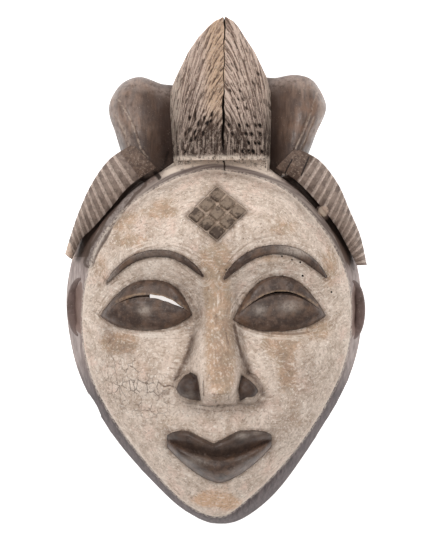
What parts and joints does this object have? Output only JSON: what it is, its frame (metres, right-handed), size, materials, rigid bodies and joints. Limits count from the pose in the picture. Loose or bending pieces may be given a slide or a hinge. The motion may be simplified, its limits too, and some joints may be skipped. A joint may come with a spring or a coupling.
{
  "type": "punu mask",
  "caption": "White-faced carved wooden dance mask with slit almond eyes, forehead lozenge, pointed crest, side lobes and grooved braids, hollow behind.",
  "frame": {"origin": "middle of the mask's bounding box, on the plane of its flat back rim", "axes": "+Z out of the face, +Y up to the crest, +X to the viewer's right when the face is looked at"},
  "size_m": [0.1826, 0.3082, 0.0994],
  "materials": {
    "wood": "matte, whitened with kaolin on the face, dark brown elsewhere"
  },
  "bodies": {
    "root": {"mask": "wood"}
  },
  "joints": []
}
